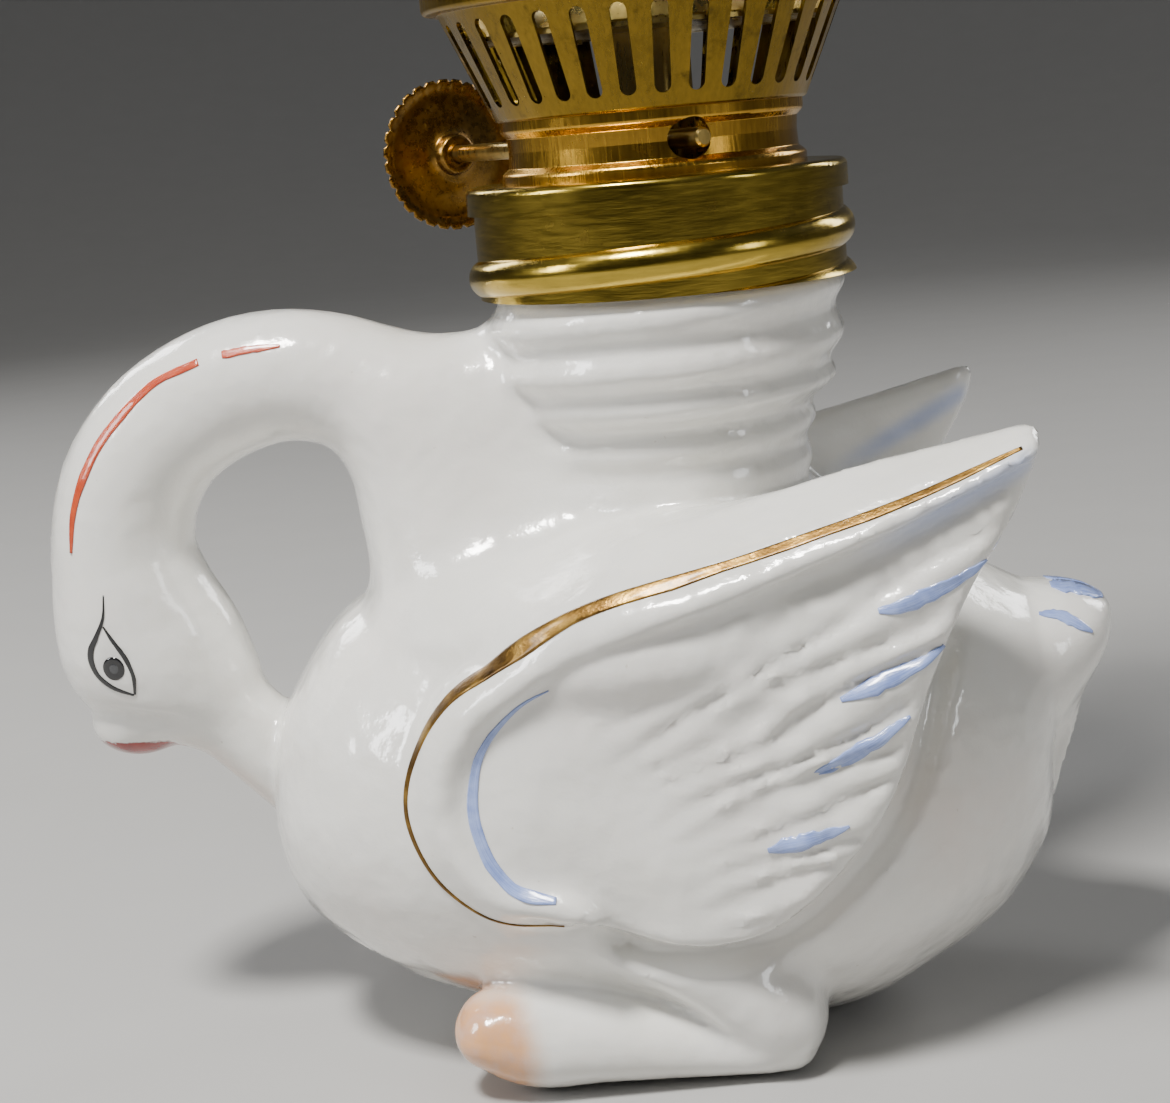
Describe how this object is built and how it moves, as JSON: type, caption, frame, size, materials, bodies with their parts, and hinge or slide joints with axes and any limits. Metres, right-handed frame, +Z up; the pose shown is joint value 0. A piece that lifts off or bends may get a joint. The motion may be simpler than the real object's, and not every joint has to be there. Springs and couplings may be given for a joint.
{
  "type": "miniature swan oil lamp",
  "caption": "Hollow glazed porcelain swan that holds lamp oil, with a threaded neck on its back, a screw-on brass flat-wick burner and a clear glass chimney.",
  "frame": {"origin": "on the table under the axis of the threaded lamp neck", "axes": "+Z up along the neck, burner and chimney axis; -X is the way the swan faces and +X its tail; the swan's mirror plane is Y = 0"},
  "size_m": [0.1063, 0.0584, 0.204],
  "materials": {
    "porcelain": "glossy white glaze with hand-painted gold, blue, orange, peach, red and black decoration",
    "cork": "pressed cork washer",
    "brass_cap": "lacquered rolled brass",
    "brass_drum": "bright brass with fine vertical draw marks",
    "brass_basket": "olive brass, slotted and slightly tarnished",
    "brass_thumbwheel": "turned brass with darkened faces",
    "brass_inside": "plain brass",
    "cotton": "flat woven cotton wick",
    "clear_glass": "clear blown glass"
  },
  "bodies": {
    "font": {"swan_font": "porcelain"},
    "seal": {"neck_gasket": "cork"},
    "burner": {"screw_cap": "brass_cap", "burner_drum": "brass_drum", "drum_floor": "brass_drum", "vent_tube": "brass_drum", "wick_tube": "brass_inside", "spindle_cradle": "brass_inside", "spindle_bush": "brass_inside", "chimney_basket": "brass_basket", "diffuser_plate": "brass_inside", "flame_dome": "brass_inside", "dome_rivets": "brass_inside"},
    "winder": {"wick_spindle": "brass_inside", "spur_wheel_inner": "brass_inside", "spur_wheel_outer": "brass_inside", "thumbwheel": "brass_thumbwheel", "thumbwheel_washer": "brass_thumbwheel"},
    "wick": {"wick": "cotton"},
    "chimney": {"glass_chimney": "clear_glass"}
  },
  "joints": [
    {"name": "burner_lift", "type": "slide", "parent": "font", "child": "seal", "axis": [0, 0, 1], "range_m": [0, 0.0051]},
    {"name": "burner_unscrew", "type": "hinge", "parent": "seal", "child": "burner", "pos_m": [0, 0, 0.08], "axis": [0, 0, 1], "range_deg": [0, 360]},
    {"name": "thumbwheel_turn", "type": "hinge", "parent": "burner", "child": "winder", "pos_m": [-0.00328, -0.00238, 0.0874], "axis": [0.5878, -0.809, 0], "range_deg": [-145, 90]},
    {"name": "wick_feed", "type": "slide", "parent": "burner", "child": "wick", "axis": [0, 0, 1], "range_m": [-0.0081, 0.0051]},
    {"name": "chimney_lift", "type": "slide", "parent": "burner", "child": "chimney", "axis": [0, 0, 1], "range_m": [0, 0.04]}
  ],
  "couplings": [
    {"joint": "burner_lift", "follows": "burner_unscrew", "m_per_rad": 0.00079577},
    {"joint": "wick_feed", "follows": "thumbwheel_turn", "m_per_rad": 0.00315}
  ]
}
